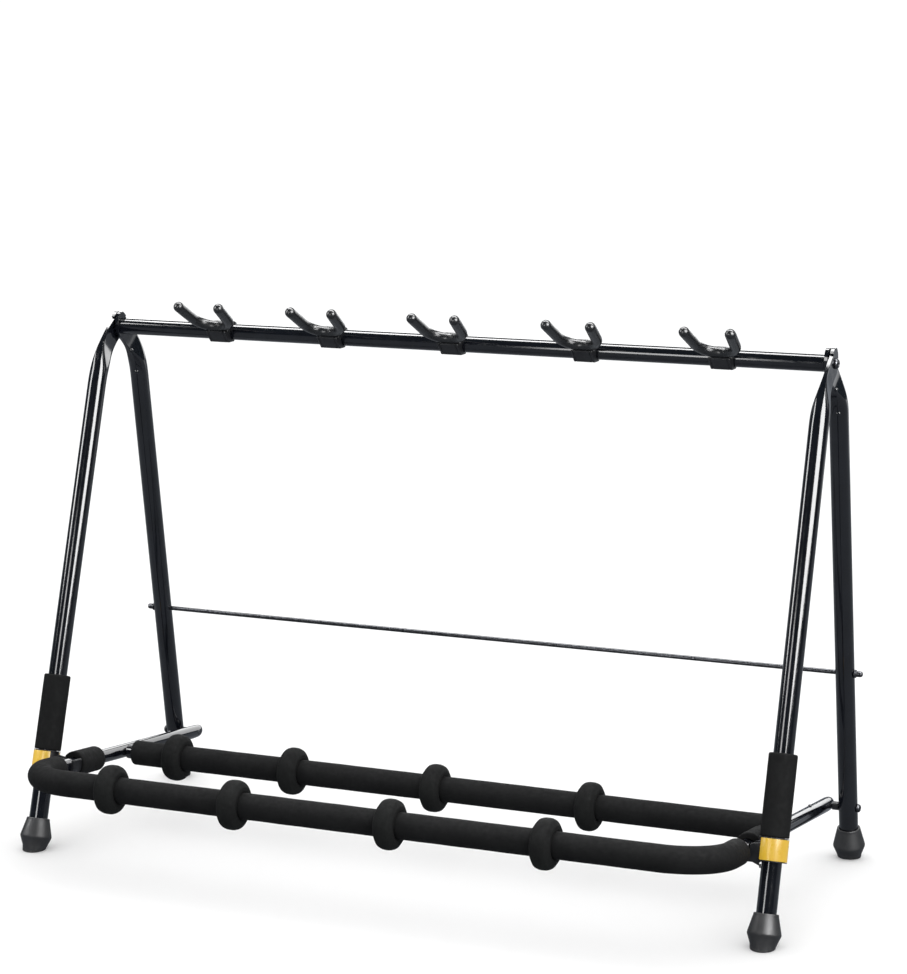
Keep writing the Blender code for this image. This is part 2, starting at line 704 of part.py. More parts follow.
def make_yoke_fork(number, x):
    """Rubber-covered U that holds a guitar's neck."""
    name = "yoke_fork_%d" % number
    rise = radians(FORK_RISE)
    forward = Vector((0.0, -cos(rise), sin(rise)))
    normal = Vector((0.0, sin(rise), cos(rise)))
    points = [Vector((across, 0, 0)) + forward * reach for across, reach in fork_route()]
    rings = []
    last = len(points) - 1
    for index, point in enumerate(points):
        heading = (points[min(index + 1, last)] - points[max(index - 1, 0)]).normalized()
        across = heading.cross(normal)
        rings.append(ring(point, across, normal, FORK_RADIUS, FORK_RADIUS, 12))
        if index in (0, last):
            outwards = -heading if index == 0 else heading
            tips = []
            for angle in (radians(45.0), radians(75.0)):
                centre = point + outwards * (FORK_RADIUS * sin(angle))
                size = FORK_RADIUS * cos(angle)
                tips.append(ring(centre, across, normal, size, size, 12))
            rings = list(reversed(tips)) + rings if index == 0 else rings + tips
    seat_y, seat_z = fork_seat()
    return add_object(name, loft(rings), black_rubber(name), (x, RAIL_Y + seat_y, RAIL_Z + seat_z))


# ---------------------------------------------------------------- assembly
def build():
    for obj in list(bpy.data.objects):
        bpy.data.objects.remove(obj, do_unlink=True)
    make_rail()
    for side in (-1, 1):
        for front in (True, False):
            make_leg(side, front)
            make_foot(side, front)
        make_leg_sleeve(side)
        make_saddle(side)
        make_collar(side)
        make_stop_screw(side)
        make_rail_plug(side)
        make_hinge(side)
        make_rod_cap(side)
        make_arm_foam(side)
        make_arm_pivot(side)
        make_arm_screw(side)
    make_cross_rod()
    make_frame_tube()
    make_rear_bar()
    make_front_foam()
    make_rear_foam()
    for number, x in enumerate(FRONT_SPACERS_X, 1):
        make_spacer("front_spacer_%d" % number, x, FRONT_BAR)
    for number, x in enumerate(REAR_SPACERS_X, 1):
        make_spacer("rear_spacer_%d" % number, x, REAR_BAR)
    for number, x in enumerate(YOKES_X, 1):
        make_yoke_clip(number, x)
        make_yoke_fork(number, x)


build()
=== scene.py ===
import json
from math import atan2, cos, pi, radians, sin

import bmesh
import bpy
from mathutils import Matrix, Vector, noise
from mathutils.bvhtree import BVHTree

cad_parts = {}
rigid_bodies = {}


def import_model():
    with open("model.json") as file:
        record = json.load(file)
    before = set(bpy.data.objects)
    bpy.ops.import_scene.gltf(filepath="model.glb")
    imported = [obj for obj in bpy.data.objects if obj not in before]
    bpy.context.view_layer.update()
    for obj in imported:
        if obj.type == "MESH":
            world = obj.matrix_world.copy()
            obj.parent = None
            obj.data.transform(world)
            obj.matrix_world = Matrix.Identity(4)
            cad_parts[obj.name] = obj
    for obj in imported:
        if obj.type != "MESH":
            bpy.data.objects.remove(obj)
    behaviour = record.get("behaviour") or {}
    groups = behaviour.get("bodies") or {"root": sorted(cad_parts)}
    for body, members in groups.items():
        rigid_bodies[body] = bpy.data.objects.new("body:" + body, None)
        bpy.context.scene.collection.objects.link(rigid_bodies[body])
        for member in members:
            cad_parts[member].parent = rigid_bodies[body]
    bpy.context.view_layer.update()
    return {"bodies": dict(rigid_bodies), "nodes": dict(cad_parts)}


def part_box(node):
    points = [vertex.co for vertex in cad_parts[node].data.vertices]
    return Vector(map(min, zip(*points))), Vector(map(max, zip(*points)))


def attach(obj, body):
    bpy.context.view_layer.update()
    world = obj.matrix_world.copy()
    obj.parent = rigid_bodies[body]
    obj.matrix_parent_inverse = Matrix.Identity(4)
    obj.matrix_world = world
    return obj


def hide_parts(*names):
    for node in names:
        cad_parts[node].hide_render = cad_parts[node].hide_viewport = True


# Looks of a folding five-guitar floor rack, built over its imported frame.
# Metres, +Z up, X along the rail, -Y the front.  Every piece is modelled in the place
# that the frame gives it, and rides on the frame's body of the same name.

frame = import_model()


def middle(node):
    low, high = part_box(node)
    return (low + high) / 2.0


# ---------------------------------------------------------------- places and sizes
RAIL = middle("top_rail")
PIVOT = middle("pivot_bolt_right")
REAR_BAR = middle("rear_bar_tube")
ROD = middle("cross_rod")
ARM_RISE = atan2(REAR_BAR.z - PIVOT.z, PIVOT.y - REAR_BAR.y)
REAR_BAR_AT = (Vector((REAR_BAR.y, REAR_BAR.z)) - Vector((PIVOT.y, PIVOT.z))).length

AIR = 0.0003                 # between neighbouring pieces, as in the frame
RAIL_RADIUS = 0.0111
LEG_RADIUS = 0.0127
FRONT_LEG_X, REAR_LEG_X = 0.520, 0.5145
FRONT_PLATE_X, REAR_PLATE_X = 0.5205, 0.5137
FRONT_FOOT_Y, REAR_FOOT_Y = -0.260, 0.140      # the legs' lines, from the hinge axis
FRONT_TOP_Y, REAR_TOP_Y = -0.036, 0.038
PLATE = 0.005                # thickness of the flattened tube ends
PLATE_HALF_WIDTH = 0.0155
BEND_BELOW, KNEE_BELOW = 0.075, 0.030
PRESSED_FROM, PRESSED_TO = 0.15, 0.72          # shares of the bend
RIVETS_BELOW = (0.0368, 0.0697)
RIVETS_FACE = Vector((0.24, -0.97, 0.0)).normalized()

ARM_X = 0.4835
TUBE_RADIUS = 0.0095         # lower frame
BEND_RADIUS = 0.069
FRONT_BAR_AT = 0.4775        # distances from the pivot, along the arms
SADDLE_AT = 0.3551
FOAM_RADIUS = 0.01725
FRONT_FOAM_END = 0.384
ARM_FOAM = (0.2845, 0.3425)
REAR_FOAM_END_X = 0.462
SPACER_RADIUS, SPACER_HALF = 0.0325, 0.014

COLLAR_FROM, COLLAR_TO = 0.1060, 0.1360        # distances up a front leg
COLLAR_RADIUS, HUB_RADIUS, COLLAR_RIM = 0.0185, 0.0160, 0.0011
LEG_FOAM_TO = 0.240

FORK_RADIUS, FORK_BEND, FORK_REACH = 0.0072, 0.027, 0.0600
FORK_RISE, FORK_SPREAD = radians(31.0), radians(6.0)
FORK_SEAT = Vector((-0.0212, 0.0096))          # (y, z) from the rail's axis
CLIP_HALF = 0.01475

FRONT_LEAN = atan2(FRONT_TOP_Y - FRONT_FOOT_Y, RAIL.z)
REAR_LEAN = atan2(REAR_TOP_Y - REAR_FOOT_Y, RAIL.z)
X, Y, Z = Vector((1, 0, 0)), Vector((0, 1, 0)), Vector((0, 0, 1))

LOWER_FRAME = Matrix.Translation((0.0, PIVOT.y, PIVOT.z)) @ Matrix.Rotation(-ARM_RISE, 4, "X")
TO_X = Matrix.Rotation(pi / 2, 4, "Y")         # turns a shape's Z axis along +X


def leg_place(side, front):
    """Frame of a leg: origin where its axis meets the floor, Z up the tube."""
    if front:
        return Matrix.Translation((side * FRONT_LEG_X, RAIL.y + FRONT_FOOT_Y, 0.0)) @ Matrix.Rotation(-FRONT_LEAN, 4, "X")
    return Matrix.Translation((side * REAR_LEG_X, RAIL.y + REAR_FOOT_Y, 0.0)) @ Matrix.Rotation(-REAR_LEAN, 4, "X")


# ---------------------------------------------------------------- material helpers
class Look:
    """A Principled material whose details come from nodes on the object's own coordinates."""

    def __init__(self, name, roughness, metallic=0.0, **sockets):
        self.material = bpy.data.materials.new(name)
        self.material.use_nodes = True
        self.tree = self.material.node_tree
        self.shader = self.tree.nodes["Principled BSDF"]
        self.shader.inputs["Roughness"].default_value = roughness
        self.shader.inputs["Metallic"].default_value = metallic
        for socket, value in sockets.items():
            self.shader.inputs[socket.replace("_", " ")].default_value = value
        self.place = self.tree.nodes.new("ShaderNodeTexCoord").outputs["Object"]
        self.normal = None

    def join(self, source, target):
        self.tree.links.new(source, target)

    def stretched(self, scale):
        node = self.tree.nodes.new("ShaderNodeMapping")
        node.inputs["Scale"].default_value = scale
        self.join(self.place, node.inputs["Vector"])
        return node.outputs["Vector"]

    def noise(self, scale, detail=3.0, rough=0.55, place=None):
        node = self.tree.nodes.new("ShaderNodeTexNoise")
        node.inputs["Scale"].default_value = scale
        node.inputs["Detail"].default_value = detail
        node.inputs["Roughness"].default_value = rough
        self.join(place or self.place, node.inputs["Vector"])
        return node.outputs["Fac"]

    def cells(self, scale, feature="F1", place=None):
        node = self.tree.nodes.new("ShaderNodeTexVoronoi")
        node.feature = feature
        node.inputs["Scale"].default_value = scale
        self.join(place or self.place, node.inputs["Vector"])
        return node.outputs["Distance"]

    def spread(self, value, low, high, start=0.3, end=0.7):
        node = self.tree.nodes.new("ShaderNodeMapRange")
        node.inputs["From Min"].default_value = start
        node.inputs["From Max"].default_value = end
        node.inputs["To Min"].default_value = low
        node.inputs["To Max"].default_value = high
        self.join(value, node.inputs["Value"])
        return node.outputs["Result"]

    def height(self):
        node = self.tree.nodes.new("ShaderNodeSeparateXYZ")
        self.join(self.place, node.inputs["Vector"])
        return node.outputs["Z"]

    def times(self, a, b):
        node = self.tree.nodes.new("ShaderNodeMath")
        node.operation = "MULTIPLY"
        self.join(a, node.inputs[0])
        self.join(b, node.inputs[1])
        return node.outputs["Value"]

    def ramp(self, value, stops):
        node = self.tree.nodes.new("ShaderNodeValToRGB")
        ramp = node.color_ramp
        for index, (position, colour) in enumerate(stops):
            stop = ramp.elements[index] if index < 2 else ramp.elements.new(position)
            stop.position = position
            stop.color = (*colour, 1.0)
        self.join(value, node.inputs["Fac"])
        return node.outputs["Color"]

    def mixed(self, share, under, over):
        """Colour under with colour over laid on it by share, each a socket or a colour."""
        node = self.tree.nodes.new("ShaderNodeMix")
        node.data_type = "RGBA"
        self.join(share, node.inputs["Factor"])
        sockets = [s for s in node.inputs if s.type == "RGBA"]
        for value, socket in zip((under, over), sockets):
            if isinstance(value, tuple):
                socket.default_value = (*value, 1.0)
            else:
                self.join(value, socket)
        return [s for s in node.outputs if s.type == "RGBA"][0]

    def colour(self, socket):
        self.join(socket, self.shader.inputs["Base Color"])

    def roughness(self, socket):
        self.join(socket, self.shader.inputs["Roughness"])

    def relief(self, height, strength, depth):
        """Adds a layer of bump; depth is in metres."""
        node = self.tree.nodes.new("ShaderNodeBump")
        node.inputs["Strength"].default_value = strength
        node.inputs["Distance"].default_value = depth
        self.join(height, node.inputs["Height"])
        if self.normal:
            self.join(self.normal, node.inputs["Normal"])
        self.normal = node.outputs["Normal"]
        self.join(self.normal, self.shader.inputs["Normal"])


def gloss_paint(name):
    """Black powder coat: glossy, with faint orange peel, haze and rubbed specks."""
    look = Look(name, 0.13, Specular_IOR_Level=0.5)
    haze = look.noise(22.0, 5.0, 0.6)
    specks = look.spread(look.noise(650.0, 2.0), 0.0, 1.0, 0.735, 0.76)
    base = look.ramp(haze, [(0.32, (0.0022, 0.0027, 0.0044)), (0.68, (0.0050, 0.0060, 0.0090))])
    look.colour(look.mixed(specks, base, (0.035, 0.037, 0.042)))
    look.roughness(look.spread(look.noise(70.0, 6.0, 0.65), 0.075, 0.16))
    look.relief(look.noise(58.0, 2.0), 0.07, 0.0005)
    look.relief(look.noise(520.0, 2.0), 0.04, 0.00010)
    return look.material


def foam(name, warm=0.0):
    """Closed-cell rubber foam: matt skin and fine open pores, with painted shade darkening the pore hollows."""
    look = Look(name, 0.9, Specular_IOR_Level=0.10)
    patches = look.noise(34.0, 5.0, 0.6)
    pores = look.cells(1150.0)
    base = look.ramp(patches, [
        (0.30, (0.0026, 0.0029, 0.0033)),
        (0.70, (0.0052 + warm, 0.0056 + 2.0 * warm, 0.0060 + warm)),
    ])
    # painted shade: the pore hollows get a darker colour than the skin around them
    painted_pore_shade = look.spread(pores, 1.0, 0.0, 0.05, 0.28)
    look.colour(look.mixed(painted_pore_shade, base, (0.0012, 0.0013, 0.0015)))
    look.roughness(look.spread(look.noise(160.0, 4.0), 0.72, 0.92))
    look.relief(look.noise(95.0, 3.0), 0.28, 0.0008)
    look.relief(pores, 0.45, 0.00035)
    look.relief(look.noise(2300.0, 2.0), 0.25, 0.00012)
    return look.material


def rubber(name, pale=0.0, soil=False, smooth=0.22):
    """Moulded rubber: satin, with a fine grain; feet also gather pale dust near the floor."""
    look = Look(name, 0.40, Specular_IOR_Level=0.5)
    patches = look.noise(48.0, 5.0, 0.62)
    base = look.ramp(patches, [
        (0.30, (0.0026 + pale, 0.0032 + pale, 0.0040 + 1.3 * pale)),
        (0.70, (0.0052 + pale, 0.0062 + pale, 0.0076 + 1.3 * pale)),
    ])
    if soil:
        low = look.spread(look.height(), 1.0, 0.0, 0.0, 0.010)
        dust = look.times(low, look.spread(look.noise(210.0, 5.0), 0.0, 0.60, 0.42, 0.75))
        base = look.mixed(dust, base, (0.070, 0.069, 0.066))
    look.colour(base)
    look.roughness(look.spread(look.noise(120.0, 5.0), smooth, smooth + 0.12))
    look.relief(look.noise(85.0, 2.0), 0.12, 0.0006)
    look.relief(look.noise(1500.0, 3.0), 0.20, 0.00012)
    return look.material


def moulded_plastic(name):
    """Black moulded plastic with a spark-eroded grain."""
    look = Look(name, 0.40, Specular_IOR_Level=0.24)
    patches = look.noise(60.0, 4.0)
    look.colour(look.ramp(patches, [(0.3, (0.0070, 0.0076, 0.0098)), (0.7, (0.0130, 0.0140, 0.0170))]))
    look.roughness(look.spread(look.noise(260.0, 4.0), 0.34, 0.52))
    look.relief(look.cells(1900.0, "SMOOTH_F1"), 0.28, 0.00010)
    look.relief(look.noise(90.0, 2.0), 0.10, 0.0004)
    return look.material


def golden_plastic(name):
    """Golden-yellow moulded plastic: glossy, slightly translucent, with flow marks."""
    look = Look(name, 0.24, Subsurface_Weight=0.06, Subsurface_Scale=0.002, Specular_IOR_Level=0.4)
    flow = look.noise(16.0, 5.0, 0.6, look.stretched((1.0, 1.0, 0.35)))
    specks = look.spread(look.noise(900.0, 2.0), 0.0, 1.0, 0.72, 0.75)
    base = look.ramp(flow, [(0.30, (0.62, 0.370, 0.022)), (0.70, (0.75, 0.480, 0.045))])
    look.colour(look.mixed(specks, base, (0.40, 0.23, 0.03)))
    look.roughness(look.spread(look.noise(140.0, 5.0), 0.24, 0.38))
    look.relief(look.noise(70.0, 2.0), 0.10, 0.0005)
    look.relief(look.noise(1300.0, 2.0), 0.10, 0.00006)
    return look.material


def dark_steel(name, tint=(0.055, 0.056, 0.060)):
    """Black-oxide steel: dark metal, blotched and brushed, with bright rubbed flecks."""
    look = Look(name, 0.30, 1.0)
    blotch = look.noise(240.0, 5.0, 0.6)
    rubbed = look.spread(look.noise(820.0, 3.0), 0.0, 1.0, 0.63, 0.72)
    base = look.ramp(blotch, [(0.3, tuple(0.6 * c for c in tint)), (0.7, tuple(1.35 * c for c in tint))])
    look.colour(look.mixed(rubbed, base, tuple(4.2 * c for c in tint)))
    look.roughness(look.spread(look.noise(420.0, 4.0), 0.20, 0.40))
    look.relief(look.noise(900.0, 3.0, 0.5, look.stretched((0.25, 1.0, 1.0))), 0.22, 0.00008)
    return look.material


PAINT = gloss_paint("black_powder_coat")
BAR_FOAM = foam("bar_foam")
SPACER_FOAM = foam("spacer_foam", 0.0008)
SLEEVE_FOAM = foam("leg_foam")
YOKE_RUBBER = rubber("yoke_rubber", 0.001)
FOOT_RUBBER = rubber("foot_rubber", 0.004, soil=True, smooth=0.44)
PLASTIC = moulded_plastic("black_plastic")
YELLOW = golden_plastic("golden_plastic")
STEEL = dark_steel("black_oxide_steel")


# ---------------------------------------------------------------- shape helpers
def ring(centre, across, along, reach_across, reach_along, count, square=2.0):
    """Points round centre: an ellipse at square=2, with flat sides above that."""
    points = []
    for step in range(count):
        angle = 2.0 * pi * step / count
        offset = Vector((0.0, 0.0, 0.0))
        for value, axis, reach in ((cos(angle), across, reach_across), (sin(angle), along, reach_along)):
            size = min(1.0, abs(value) ** (2.0 / square) * (1.0 + 0.04 * (square - 2.0)))
            offset += axis * (reach * (size if value >= 0.0 else -size))
        points.append(centre + offset)
    return points


def loft(rings, closed=False):
    """A skin through rings of equal size, capped at both ends or closed on itself."""
    bm = bmesh.new()
    loops = [[bm.verts.new(point) for point in points] for points in rings]
    count = len(loops[0])
    pairs = list(zip(loops, loops[1:]))
    if closed:
        pairs.append((loops[-1], loops[0]))
    for low, high in pairs:
        for i in range(count):
            j = (i + 1) % count
            bm.faces.new((low[i], low[j], high[j], high[i]))
    if not closed:
        bm.faces.new(list(reversed(loops[0])))
        bm.faces.new(loops[-1])
    bmesh.ops.recalc_face_normals(bm, faces=bm.faces)
    return bm


def rounded(corners, closed=True, steps=4):
    """A profile with its corners rounded; each corner is (radius, height, fillet)."""
    points = []
    count = len(corners)
    for index, (across, up, fillet) in enumerate(corners):
        here = Vector((across, up))
        at_end = not closed and index in (0, count - 1)
        if fillet == 0.0 or at_end:
            points.append(here)
            continue
        before = Vector(corners[index - 1][:2]) - here
        after = Vector(corners[(index + 1) % count][:2]) - here
        start = here + before.normalized() * min(fillet, 0.48 * before.length)
        end = here + after.normalized() * min(fillet, 0.48 * after.length)
        for step in range(steps + 1):
            t = step / steps
            points.append(start * (1 - t) ** 2 + here * (2 * t * (1 - t)) + end * t ** 2)
    return points


def turned(corners, count=64, closed=True, steps=4):
    """A body of revolution about Z from corners as rounded() takes them."""
    profile = rounded(corners, closed, steps)
    return loft([ring(Z * up, X, Y, radius, radius, count) for radius, up in profile], closed)


def eased(rows, per):
    """Rows of numbers with per - 1 more between each two, on a smooth curve."""
    out = []
    for index in range(len(rows) - 1):
        p0, p1 = rows[max(index - 1, 0)], rows[index]
        p2, p3 = rows[index + 1], rows[min(index + 2, len(rows) - 1)]
        for step in range(per):
            t = step / per
            out.append(tuple(
                0.5 * (2 * b + (c - a) * t + (2 * a - 5 * b + 4 * c - d) * t ** 2 + (3 * b - a - 3 * c + d) * t ** 3)
                for a, b, c, d in zip(p0, p1, p2, p3)))
    out.append(tuple(rows[-1]))
    return out


def tube_sections(points, radius, count, upright):
    """Round sections square to a route of points; upright is the route's plane normal."""
    rings = []
    last = len(points) - 1
    for index, point in enumerate(points):
        heading = (points[min(index + 1, last)] - points[max(index - 1, 0)]).normalized()
        rings.append(ring(point, heading.cross(upright).normalized(), upright, radius, radius, count))
    return rings


def uneven(bm, amount, size, seed=0.0):
    """Push the skin in and out by a smooth noise of that size, in metres."""
    bm.normal_update()
    shift = Vector((seed, seed * 0.7, -seed))
    for vert in bm.verts:
        vert.co += vert.normal * (amount * noise.noise(vert.co / size + shift))


def joined(parts):
    """Several closed shells as one mesh."""
    whole = bmesh.new()
    for part in parts:
        mesh = bpy.data.meshes.new("part")
        part.to_mesh(mesh)
        part.free()
        whole.from_mesh(mesh)
        bpy.data.meshes.remove(mesh)
    return whole


def carved(bm, tools, operation="DIFFERENCE"):
    """bm with the tools cut from it or joined to it."""
    scene = bpy.context.scene.collection
    objects = []
    for part in [bm] + tools:
        mesh = bpy.data.meshes.new("carve")
        part.to_mesh(mesh)
        part.free()
        objects.append(bpy.data.objects.new("carve", mesh))
        scene.objects.link(objects[-1])
    for tool in objects[1:]:
        modifier = objects[0].modifiers.new("carve", "BOOLEAN")
        modifier.operation = operation
        modifier.solver = "EXACT"
        modifier.object = tool
    result = bmesh.new()
    graph = bpy.context.evaluated_depsgraph_get()
    graph.update()
    result.from_object(objects[0], graph)
    for obj in objects:
        mesh = obj.data
        bpy.data.objects.remove(obj, do_unlink=True)
        bpy.data.meshes.remove(mesh)
    return result


def softened(bm, width, segments=3, sharp=32.0):
    """Bevel every edge sharper than that angle."""
    bm.normal_update()
    edges = [e for e in bm.edges if len(e.link_faces) == 2 and e.calc_face_angle() > radians(sharp)]
    bmesh.ops.bevel(bm, geom=edges, offset=width, segments=segments, profile=0.6, affect="EDGES", clamp_overlap=True)
    return bm


def piece(name, bm, material, body, stands_for, place=Matrix.Identity(4), sharp=42.0):
    """Put bm in the scene at its place, on its body and in place of the frame's nodes."""
    bm.transform(place)
    mesh = bpy.data.meshes.new(name)
    bm.to_mesh(mesh)
    bm.free()
    mesh.materials.append(material)
    mesh.shade_smooth()
    mesh.set_sharp_from_angle(angle=radians(sharp))
    obj = bpy.data.objects.new(name, mesh)
    bpy.context.scene.collection.objects.link(obj)
    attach(obj, body)
    if stands_for:
        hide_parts(*stands_for)
    return obj


SIDES = ((-1, "left"), (1, "right"))


# ---------------------------------------------------------------- legs and feet
def leg_rows(front):
    """(y, z, heading, half width, half thickness) up a leg, from the hinge axis."""
    towards = -1.0 if front else 1.0
    foot_y = FRONT_FOOT_Y if front else REAR_FOOT_Y
    lean = FRONT_LEAN if front else REAR_LEAN
    slope = sin(lean) / cos(lean)

    def on_line(z):
        return Vector((foot_y + slope * (z + RAIL.z), z))

    start, knee, hinge = on_line(-BEND_BELOW), on_line(-KNEE_BELOW), Vector((0.0, 0.0))
    bend = []
    for step in range(9):
        t = step / 8
        centre = start * (1 - t) ** 2 + knee * (2 * t * (1 - t)) + hinge * t ** 2
        forward = (knee - start) * (1 - t) + (hinge - knee) * t
        share = min(1.0, max(0.0, (t - PRESSED_FROM) / (PRESSED_TO - PRESSED_FROM)))
        flat = share ** 2 * (3.0 - 2.0 * share)
        width = LEG_RADIUS + (PLATE_HALF_WIDTH - LEG_RADIUS) * flat
        thickness = LEG_RADIUS + (PLATE / 2 - LEG_RADIUS) * flat
        bend.append((centre.x, centre.y, atan2(forward.x, forward.y), width, thickness))
    tip = [
        (towards * -0.0010, 0.0110, radians(-15.0) * towards, 0.0120, PLATE / 2),
        (towards * -0.0010, 0.0165, radians(-3.0) * towards, 0.0082, PLATE / 2),
        (towards * -0.0010, 0.0192, 0.0, 0.0048, PLATE / 2),
        (towards * -0.0010, 0.0200, 0.0, 0.0024, PLATE / 2.6),
    ]
    low = on_line(0.0115 - RAIL.z)
    straight = [(low.x, low.y, lean, LEG_RADIUS, LEG_RADIUS)]
    near = on_line(-BEND_BELOW - 0.02)
    straight.append((near.x, near.y, lean, LEG_RADIUS, LEG_RADIUS))
    return straight + eased(bend + tip, 4)


def make_leg(side, word, front):
    name = ("front_leg_" if front else "rear_leg_") + word
    round_x = side * (FRONT_LEG_X if front else REAR_LEG_X)
    plate_x = side * (FRONT_PLATE_X if front else REAR_PLATE_X)
    rings = []
    rows = leg_rows(front)
    for y, z, heading, width, thickness in rows:
        flatness = (LEG_RADIUS - thickness) / (LEG_RADIUS - PLATE / 2)
        centre = Vector((round_x + (plate_x - round_x) * flatness, RAIL.y + y, RAIL.z + z))
        across = Vector((0.0, cos(heading), -sin(heading)))
        rings.append(ring(centre, across, X, width, thickness, 64, 2.0 + 2.5 * flatness))
    parts = [loft(rings)]
    if not front:
        surface = BVHTree.FromBMesh(parts[0])
        for below in RIVETS_BELOW:
            row = min(rows, key=lambda r: abs(r[1] + below))
            flatness = (LEG_RADIUS - row[4]) / (LEG_RADIUS - PLATE / 2)
            core = Vector((round_x + (plate_x - round_x) * flatness, RAIL.y + row[0], RAIL.z - below))
            seat = surface.ray_cast(core + RIVETS_FACE * 0.05, -RIVETS_FACE)[0]
            head = turned([
                (0.0, 0.0013, 0.0), (0.0018, 0.0012, 0.0006), (0.0029, 0.0004, 0.0006), (0.0030, -0.0020, 0.0),
            ], 32, closed=False)
            head.transform(Matrix.Translation(seat) @ Z.rotation_difference(RIVETS_FACE).to_matrix().to_4x4())
            parts.append(head)
    return piece(name + "_tube", joined(parts), PAINT, "front_frame" if front else "rear_frame",
                 [name])


def make_foot(side, word, front):
    """Rubber foot: flared cones with a lip at the top."""
    name = ("front_foot_" if front else "rear_foot_") + word
    lean = FRONT_LEAN if front else REAR_LEAN
    bore = LEG_RADIUS + AIR
    corners = [
        (bore, 0.0110, 0.0), (bore, 0.0420, 0.0), (bore + 0.0004, 0.0430, 0.0003),
        (0.0154, 0.0430, 0.0008), (0.0158, 0.0418, 0.0006), (0.0160, 0.0405, 0.0006), (0.01615, 0.0395, 0.0005),
        (0.0212, 0.0196, 0.0025), (0.0215, 0.0172, 0.0022), (0.0166, 0.0050, 0.0020),
    ]
    profile = rounded(corners, closed=False)
    rings = [ring(Z * up, X, Y, radius, radius, 72) for radius, up in profile]
    slope = sin(lean) / cos(lean)
    for radius, lift in ((0.0160, 0.0016), (0.0157, 0.0005), (0.0150, 0.0)):
        rings.append([Vector((p.x, p.y, p.y * slope + lift)) for p in ring(Vector(), X, Y, radius, radius, 72)])
    bm = loft(rings)
    return piece(name + "_rubber", bm, FOOT_RUBBER, "front_frame" if front else "rear_frame",
                 [name], leg_place(side, front))


def make_leg_sleeve(side, word):
    corners = [
        (LEG_RADIUS + AIR, COLLAR_TO + AIR, 0.0008), (COLLAR_RADIUS - 0.0002, COLLAR_TO + AIR, 0.0022),
        (COLLAR_RADIUS - 0.0002, LEG_FOAM_TO, 0.0030), (LEG_RADIUS + AIR, LEG_FOAM_TO, 0.0008),
    ]
    profile = []
    for a, b in zip(rounded(corners), rounded(corners)[1:] + rounded(corners)[:1]):
        steps = max(1, int((b - a).length / 0.004))
        profile += [a + (b - a) * (step / steps) for step in range(steps)]
    bm = loft([ring(Z * up, X, Y, radius, radius, 64) for radius, up in profile], closed=True)
    obj_place = leg_place(side, True)
    outer = [v for v in bm.verts if v.co.xy.length > LEG_RADIUS + 0.002]
    for vert in outer:
        swell = noise.noise(vert.co / 0.030 + Vector((side, 0, 0)))
        vert.co.xy *= 1.0 + 0.010 * swell - 0.004
    sleeve = piece("leg_foam_" + word, bm, SLEEVE_FOAM, "front_frame", ["leg_sleeve_" + word], obj_place)
    return sleeve


# ---------------------------------------------------------------- saddles and collars
def hook_outline(side):
    """Hook that carries an arm, as (x, z) points from the arm's axis."""
    inner = TUBE_RADIUS + AIR
    outer = inner + 0.0042
    inward = FRONT_LEG_X - ARM_X
    points = [(0.0135 - inward, 0.0075), (-inner, 0.0075)]
    points += [(inner * cos(pi + pi * k / 16), inner * sin(pi + pi * k / 16)) for k in range(17)]
    points += [(inner + 0.0004, 0.0085), (inner + 0.0020, 0.0100), (outer, 0.0085)]
    points += [(outer * cos(-pi / 2 * k / 10), outer * sin(-pi / 2 * k / 10)) for k in range(11)]
    points.append((0.0135 - inward, -outer))
    return [Vector((-side * inwards, up)) for inwards, up in points]


def make_saddle(side, word):
    bore = LEG_RADIUS + AIR
    low, high = COLLAR_FROM + COLLAR_RIM, COLLAR_TO - COLLAR_RIM
    hub = turned([
        (bore, COLLAR_FROM, 0.0), (COLLAR_RADIUS, COLLAR_FROM, 0.0005), (COLLAR_RADIUS, low, 0.0003),
        (HUB_RADIUS, low, 0.0002), (HUB_RADIUS, high, 0.0002), (COLLAR_RADIUS, high, 0.0003),
        (COLLAR_RADIUS, COLLAR_TO, 0.0005), (bore, COLLAR_TO, 0.0),
    ], 72)
    hub.transform(leg_place(side, True))
    outline = hook_outline(side)
    hook = loft([[Vector((p.x, y, p.y)) for p in outline] for y in (-0.011, 0.011)])
    softened(hook, 0.0007, 2, 50.0)
    parts = [hook]
    for y in (-0.0095, 0.0095):
        web = loft([[Vector((p.x * 1.0 + side * 0.0, y + d, p.y)) for p in rib_outline(side)] for d in (-0.0013, 0.0013)])
        parts.append(softened(web, 0.0004, 2, 50.0))
    arm_at = LOWER_FRAME @ Vector((side * ARM_X, -SADDLE_AT, 0.0))
    turn = Matrix.Translation(arm_at) @ Matrix.Rotation(-ARM_RISE, 4, "X")
    for part in parts:
        part.transform(turn)
    return piece("saddle_hook_" + word, joined([hub] + parts), PLASTIC, "front_frame",
                 ["saddle_" + word])


def rib_outline(side):
    """Gusset under the hook's arm, as (x, z) points from the arm's axis."""
    inner = TUBE_RADIUS + AIR
    inward = FRONT_LEG_X - ARM_X
    points = [
        (0.0140 - inward, 0.0110), (-inner - 0.0010, 0.0092), (-inner - 0.0006, -0.0020), (-0.0070, -0.0110),
        (0.0140 - inward, -0.0175),
    ]
    return [Vector((-side * inwards, up)) for inwards, up in points]


